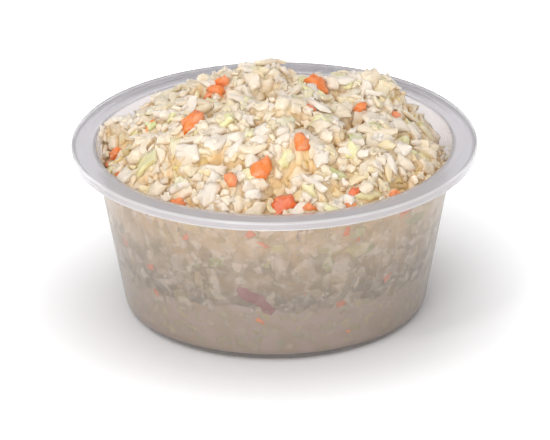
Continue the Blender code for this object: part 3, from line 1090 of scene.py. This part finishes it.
# %% The cabbage pieces that show best
# The same, then thickness in mm and colour.
LEAF_SPOTS = (
    (-31.0, -16.5, 0.3, 10.5, 8.5, 1.4, PALE_GREEN),
    (-16.0, -34.0, 0.6, 9.5, 7.0, 2.6, WHITE),
    (-21.0, -21.0, 0.1, 8.5, 7.5, 2.2, WHITE),
    (28.0, -20.0, 2.1, 9.5, 2.8, 2.0, WHITE),
    (25.0, -17.5, 0.6, 6.5, 2.6, 1.8, CREAM),
    (9.6, -31.3, -0.9, 12.0, 3.0, 1.6, WHITE),
    (-3.0, -18.5, 0.2, 7.5, 5.0, 1.6, WHITE),
    (14.8, -27.5, 0.4, 6.5, 4.5, 1.0, GREEN),
    (-3.9, 14.0, 0.4, 6.5, 4.5, 1.0, PALE_GREEN),
    (20.0, -13.5, 0.9, 6.0, 4.6, 1.0, GREEN),
    (-30.0, -3.0, 0.9, 3.6, 3.0, 1.0, GREEN),
    (-5.0, 19.5, 0.4, 8.0, 6.0, 2.4, WHITE),
    (24.0, 12.5, 0.8, 8.5, 6.0, 2.0, CREAM),
    (12.0, -12.0, 0.5, 6.5, 4.5, 1.0, PALE_GREEN),
    (19.0, -20.5, 1.5, 6.0, 4.5, 1.0, PALE_GREEN),
    (24.5, -8.0, 0.2, 5.5, 4.0, 1.0, GREEN),
    (4.0, -5.0, 2.2, 6.5, 4.0, 1.0, PALE_GREEN),
    (33.0, -13.0, 0.8, 6.0, 4.0, 1.0, PALE_GREEN),
    (-16.0, 3.0, 1.2, 5.5, 4.0, 1.0, PALE_GREEN),
    (6.0, -27.0, 0.3, 7.0, 4.6, 1.6, CREAM),
    (11.5, -25.0, 1.0, 6.5, 4.4, 1.5, WHITE),
    (2.5, -26.0, 0.8, 5.5, 3.6, 1.2, PALE_GREEN),
    (-29.0, -25.0, 0.8, 6.5, 4.4, 1.6, CREAM),
    (-9.5, -22.5, 0.4, 6.5, 4.4, 1.6, WHITE),
)
for spot_x, spot_y, yaw, long, wide, thick, colour in LEAF_SPOTS:
    kind = slabs(1, (long, long), (wide, wide), (thick, thick), 5, 0.16, 0.03, 0.4, CHUNKY, 15)
    tint = tints(1, (colour,), (1,))
    leaves.append(heap_batch(kind, tint, 0.3, SET_IN, 0.4, [(spot_x * MM, spot_y * MM, yaw)]))
print("cabbage pieces placed by hand:", len(LEAF_SPOTS))

# %% Last small bits over all
heap_goal = target + 0.5 * MM
heap_stage(0.8)
drop_kind(THIN_SCRAPS, heap_batch)
print("thin scraps placed", len(leaves[-1][0]))

# %% Painted shade by depth, and joining
# Colours of the painted shade: golden deep in the heap, and warmer and darker behind the wall.
GOLDEN_DEPTH_SHADE, SHADED = np.array((0.96, 0.81, 0.54)), np.array((0.97, 0.80, 0.56))
# Where colours begin to turn below the top and over what depth, how far in from the wall its shade
# reaches, and the height below which that shade deepens and over what fall.
TURNS_FROM, TURNS_OVER = 0.8 * MM, 4.6 * MM
SHADE_REACH, DEEPENS_FROM, DEEPENS_OVER = 5 * MM, 38 * MM, 21 * MM


def with_painted_depth_shade(points, colours, strength=1.0, wall_strength=1.0):
    """Painted shade: colours turned golden with depth below the heap's top or behind the wall,
    whichever is less.

    Bits deep in a heap of pale wet food are lit only by light that has met other bits first, and
    that shade is painted into their colours. The same goes for all that lies at the wall, and the
    more so the lower it lies. The strength scales both, and the wall's strength scales the second alone."""
    x, y, z = points.T
    top = bilinear(heap_surface, PITCH, (-HALF, -HALF), x, y) - z
    wall = inner_radius(np.minimum(z, CUP_HEIGHT)) - np.hypot(x, y)
    depth = np.clip((np.minimum(top, 1.3 * wall) - TURNS_FROM) / TURNS_OVER, 0, 1)[:, None]
    depth = strength * depth * depth * (3 - 2 * depth)
    near = np.clip(1.2 - wall / SHADE_REACH, 0, 1) * np.clip((top - 1.0 * MM) / (3 * MM), 0, 1)
    near = strength * wall_strength * near[:, None]
    low = np.clip((DEEPENS_FROM - z) / DEEPENS_OVER, 0, 1)[:, None] ** 0.7
    return colours * (1 - depth + GOLDEN_DEPTH_SHADE * depth) * (1 - near + SHADED * near * (1 - 0.62 * low))


# The share of the painted wall shade that the bits take, and the angle up to which they shade smooth.
BITS_WALL_SHADE, BIT_CREASE = 0.85, 70


def join_bits(name, batches, material, node, strength=1.0):
    """All bits of one kind as one mesh: every batch holds points, a kind and tints.

    Each bit's UV is its own flat outline before it was laid down, moved by a random shift."""
    points, quads, fans, uvs, colours, start = [], [], [], [], [], 0
    for placed, kind, tint in batches:
        count, each = placed.shape[:2]
        quad, fan = closed_grid(kind["rows"], kind["columns"])
        offset = start + np.arange(count)[:, None, None] * each
        quads.append((quad[None] + offset).reshape(-1, 4))
        fans.append((fan[None] + offset).reshape(-1, 3))
        points.append(placed.reshape(-1, 3))
        shift = rng.uniform(0, 50, (count, 1, 2))
        uvs.append((kind["points"][:, :, :2] / (3 * MM) + shift).reshape(-1, 2))
        colours.append(np.repeat(tint, each, axis=0))
        start += count * each
    points, quads, fans, uvs, colours = (np.concatenate(p) for p in (points, quads, fans, uvs, colours))
    # The tints take the painted shade by depth before they are stored on the mesh.
    colours = with_painted_depth_shade(points, colours, strength, BITS_WALL_SHADE)
    obj = make_object(name, points, quads, fans, material, uvs, colours, BIT_CREASE)
    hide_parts(node)


# %% Join the kinds
heap_surface = blurred(grown(heap_bed.level, 4), 4)
join_bits("cabbage_leaf_scraps", leaves + wall_leaves, CABBAGE, "slaw")
join_bits("cabbage_rib_pieces", ribs + wall_ribs, CABBAGE, "slaw")
join_bits("cabbage_shreds", shreds + wall_strips, CABBAGE, "slaw")
join_bits("cabbage_crumbs", crumbs + wall_crumbs, CABBAGE, "slaw")
join_bits("carrot_chips", carrots + wall_carrots, CARROT, "slaw", 0.5)

# %% [markdown]
# ## The core
# Between the bits one sees more of the same, deeper in. Modelling every bit inside would cost a great
# deal and never show, so one closed mass stands for them. Its top follows just below the bits, with
# a relief of its own. Its side goes out into the plastic, so that no gap of air shows behind the
# wall. Its tint carries painted shade: golden by depth, and dimmed in lumps at the wall for the
# gaps between real bits.

# %% A lumpy field
def relief(x, y, z, size):
    """A cheap lumpy field: three crossed sine waves, each bent by the others."""
    a, b, c = x / size, y / size, z / size
    waves = np.sin(a + 1.3 * np.sin(b)) + np.sin(1.1 * b + 1.7 * np.sin(c))
    return (waves + np.sin(1.3 * c + 1.1 * np.sin(a))) / 3


# %% The core's surface
filled_top = blurred(-grown(-heap_bed.level, 1), 2) - 0.4 * MM
CORE_REACH, CORE_LOW, INTO_WALL = 41.4 * MM, 5.0 * MM, 0.04 * MM


def core_surface(columns=340):
    """Rings from the middle of the mound out to the edge, down the wall and under the pool's top.

    The side is drawn back from the wall near the heap's edge and below the pool's top."""
    turn = np.arange(columns) * math.tau / columns
    shares = np.linspace(0.01, 1, 104)
    out = CORE_REACH * shares[:, None] + 0 * turn
    x, y = out * np.cos(turn), out * np.sin(turn)
    z = bilinear(filled_top, PITCH, (-HALF, -HALF), x, y)
    top = np.stack([x, y, z + 0.35 * MM * relief(x, y, z, 0.6 * MM)], -1)
    steps = np.linspace(0, 1, 46)[1:, None]
    side_z = z[-1] * (1 - steps) + CORE_LOW * steps
    radius = inner_radius(side_z) + 0 * turn
    sx, sy = radius * np.cos(turn), radius * np.sin(turn)
    below_top, over_pool = z[-1] - side_z, side_z - pool_at(turn) + 1.0 * MM
    back = 0.7 * MM * np.clip(1 - np.minimum(below_top, over_pool + 1.5 * MM) / (1.5 * MM), 0, 1)
    swell = 1 + (INTO_WALL - back) / radius
    side = np.stack([sx * swell, sy * swell, side_z + 0 * turn], -1)
    base = np.stack([side[-1, :, 0] * 0.5, side[-1, :, 1] * 0.5, 0 * turn + CORE_LOW], -1)[None]
    rows = np.concatenate([top, side, base])
    first = np.array([[0, 0, rows[0, :, 2].mean()]])
    return np.concatenate([first, rows.reshape(-1, 3), [[0, 0, CORE_LOW]]]), len(rows), columns


def gap_shade(points):
    """Lumpy dimming of what lies at the wall, for the gaps between the bits pressed there."""
    x, y, z = points.T
    lumps = 1.6 * relief(x, y, z, 2.0 * MM) + 0.6 * relief(y, z, x, 0.7 * MM)
    wall = inner_radius(np.minimum(z, CUP_HEIGHT)) - np.hypot(x, y)
    dim = np.clip(1 - wall / (1.5 * MM), 0, 1) * (0.6 - 0.4 * np.clip(lumps, -1, 1))
    return 1 - dim[:, None] * np.array((0.34, 0.31, 0.38))


# %% Core
core_points, core_rows, core_columns = core_surface()
quads, fans = closed_grid(core_rows, core_columns)
# The core's tint carries painted shade, by depth and in lumps at the wall.
core_tint_and_shade = with_painted_depth_shade(core_points, np.full((len(core_points), 3), CREAM)) * gap_shade(core_points)
core = make_object("slaw_core", core_points, quads, fans, MASS, tint=core_tint_and_shade)
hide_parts("slaw")

# %% [markdown]
# ## The pool of dressing
# Dressing drains out of the heap and stands in the bottom of the cup. It wets the plastic, so the
# pool is one closed piece a little way into the wall and the floor, and no gap of air shows.

# %% Pool
POOL_PRESS, POOL_LOW = 0.05 * MM, FLOOR_INSIDE - 0.03 * MM


def pool_surface(columns=180):
    """Rings over the pool's waved top, down the wall along the cup's own inner line, and the floor."""
    turn = np.arange(columns) * math.tau / columns
    level = pool_at(turn)
    shares = np.linspace(0.05, 1, 24)[:, None]
    out = (inner_radius(level) + POOL_PRESS) * shares
    mean = pool_edge.mean()
    top_z = mean + (level - mean) * shares**3
    top = np.stack([out * np.cos(turn), out * np.sin(turn), top_z + 0 * out], -1)
    fall = np.linspace(0, 1, 26)[1:, None] ** 0.8
    side_z = level * (1 - fall) + POOL_LOW * fall
    radius = inner_radius(np.maximum(side_z, FLOOR_INSIDE)) + POOL_PRESS
    side = np.stack([radius * np.cos(turn), radius * np.sin(turn), side_z + 0 * turn], -1)
    base = np.stack([side[-1, :, 0] * 0.5, side[-1, :, 1] * 0.5, side[-1, :, 2]], -1)[None]
    rows = np.concatenate([top, side, base])
    poles = np.array([[0, 0, rows[0, :, 2].mean()]]), np.array([[0, 0, POOL_LOW]])
    return np.concatenate([poles[0], rows.reshape(-1, 3), poles[1]]), len(rows), columns


pool_points, pool_rows, pool_columns = pool_surface()
quads, fans = closed_grid(pool_rows, pool_columns)
pool = make_object("dressing_pool", pool_points, quads, fans, POOL)
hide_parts("dressing")

# %% Bits sunk in the pool
pool_bed = Bed(np.zeros_like(wall_bed.level), wall_bed.low, WALL_PITCH, wrap=True)


def pool_spots(count):
    """Random places on the wall below the pool's surface."""
    turn = rng.uniform(-math.pi, math.pi, count)
    return turn * ROUND, rng.uniform(4.0 * MM, pool_at(turn) - 0.5 * MM)


sunk = []
SUNK_BITS, SUNK_PRESS, SUNK_CARROT_PRESS = 260, 0.12 * MM, 0.2
# The sunk bits' tints are darker than cabbage: painted shade, as in the pool, for the dim bottom of the cup.
SUNK = ((0.48, 0.40, 0.26), (0.55, 0.45, 0.34), (0.44, 0.38, 0.25), (0.54, 0.45, 0.27))
kind = slabs(SUNK_BITS, (2.0, 6.0), (1.4, 3.8), (0.8, 1.6), 4, 0.2, 0.06, 0.2, LEAFY)
tint = tints(SUNK_BITS, SUNK, (0.3, 0.3, 0.15, 0.25))
placed, kept = settle(pool_bed, kind, wall_goal, wall_slope, pool_spots, 0.25, 0.6 * MM, 0.3)
sunk.append((from_wall(placed, -SUNK_PRESS), dict(kind, points=kind["points"][kept]), tint[kept]))
# Bearing in degrees, height in mm, turn in radians, length and width in mm.
POOL_CARROTS = (
    (-96, 12.0, -0.5, 4.6, 2.2),
    (-114, 5.6, -0.9, 4.0, 1.8),
    (-29, 7.5, 1.3, 4.4, 1.5),
    (-62, 6.5, 0.4, 2.0, 1.4),
    (-140, 9.0, 0.8, 2.4, 1.4),
    (30, 8.0, 0.3, 4.0, 2.0),
    (80, 11.0, 0.9, 3.6, 2.0),
    (130, 7.0, -0.6, 4.0, 1.6),
    (-175, 10.0, 0.5, 3.6, 2.0),
)
for bearing, height, yaw, long, wide in POOL_CARROTS:
    kind = slabs(1, (long, long), (wide, wide), (1.2, 1.6), 4, 0.06, 0.01, 0.03, CHUNKY)
    tint = tints(1, (PINK_ORANGE, ORANGE), (0.5, 0.5))
    sunk.append(pressed(pool_bed, kind, tint, bearing, height, yaw, SUNK_CARROT_PRESS))
join_bits("sunk_bits", sunk, SOAKED, "dressing", 0.0)

# %% [markdown]
# ## Floor and light
# A pale table, one soft lamp above and a little behind, a stronger one farther off in front, a small
# one for sharp glints, and an even sky. Away from the cup the table glows, painted light like that
# of a lit sweep.

# %% Floor and lamps
def add_floor():
    """A large plain sheet with a soft white finish, and painted light: it glows away from the cup."""
    mesh = bpy.data.meshes.new("floor")
    half = 4.0
    corners = [(-half, -half, 0), (half, -half, 0), (half, half, 0), (-half, half, 0)]
    mesh.from_pydata(corners, [], [(0, 1, 2, 3)])
    floor = bpy.data.objects.new("floor", mesh)
    bpy.context.scene.collection.objects.link(floor)
    material, tree, shader = principled("table", Base_Color=(0.93, 0.93, 0.94, 1), Roughness=0.8)
    place = tree.nodes.new("ShaderNodeTexCoord").outputs["Object"]
    away = add_node(tree, "ShaderNodeVectorMath", operation="LENGTH")
    tree.links.new(place, away.inputs[0])
    # Painted light: the table's glow rises from 3 to 13 cm out from the cup's axis.
    glow = ranged(tree, away.outputs["Value"], 0.03, 0.13)
    colour = blend_colour(tree, glow, (0, 0, 0, 1), (1, 1, 1, 1))
    tree.links.new(colour, shader.inputs["Emission Color"])
    shader.inputs["Emission Strength"].default_value = 0.75
    mesh.materials.append(material)


def add_lamp(name, place, aim, size, power):
    """A white square area lamp that faces a point."""
    data = bpy.data.lights.new(name, "AREA")
    data.size, data.energy = size, power
    lamp = bpy.data.objects.new(name, data)
    lamp.location = place
    lamp.rotation_euler = (Vector(aim) - Vector(place)).to_track_quat("-Z", "Y").to_euler()
    bpy.context.scene.collection.objects.link(lamp)


# %% Light
add_floor()
MIDDLE = (0, 0, 0.03)
add_lamp("softbox", (-0.02, 0.10, 0.85), MIDDLE, 0.6, 1.6)
add_lamp("front", (-0.25, -1.0, 0.40), MIDDLE, 0.7, 5.8)
add_lamp("sparkle", (-0.25, -0.45, 0.75), MIDDLE, 0.12, 0.8)
world = bpy.data.worlds.new("studio")
bpy.context.scene.world = world
world.use_nodes = True
world.node_tree.nodes["Background"].inputs["Color"].default_value = (1, 1, 1, 1)
world.node_tree.nodes["Background"].inputs["Strength"].default_value = 0.6
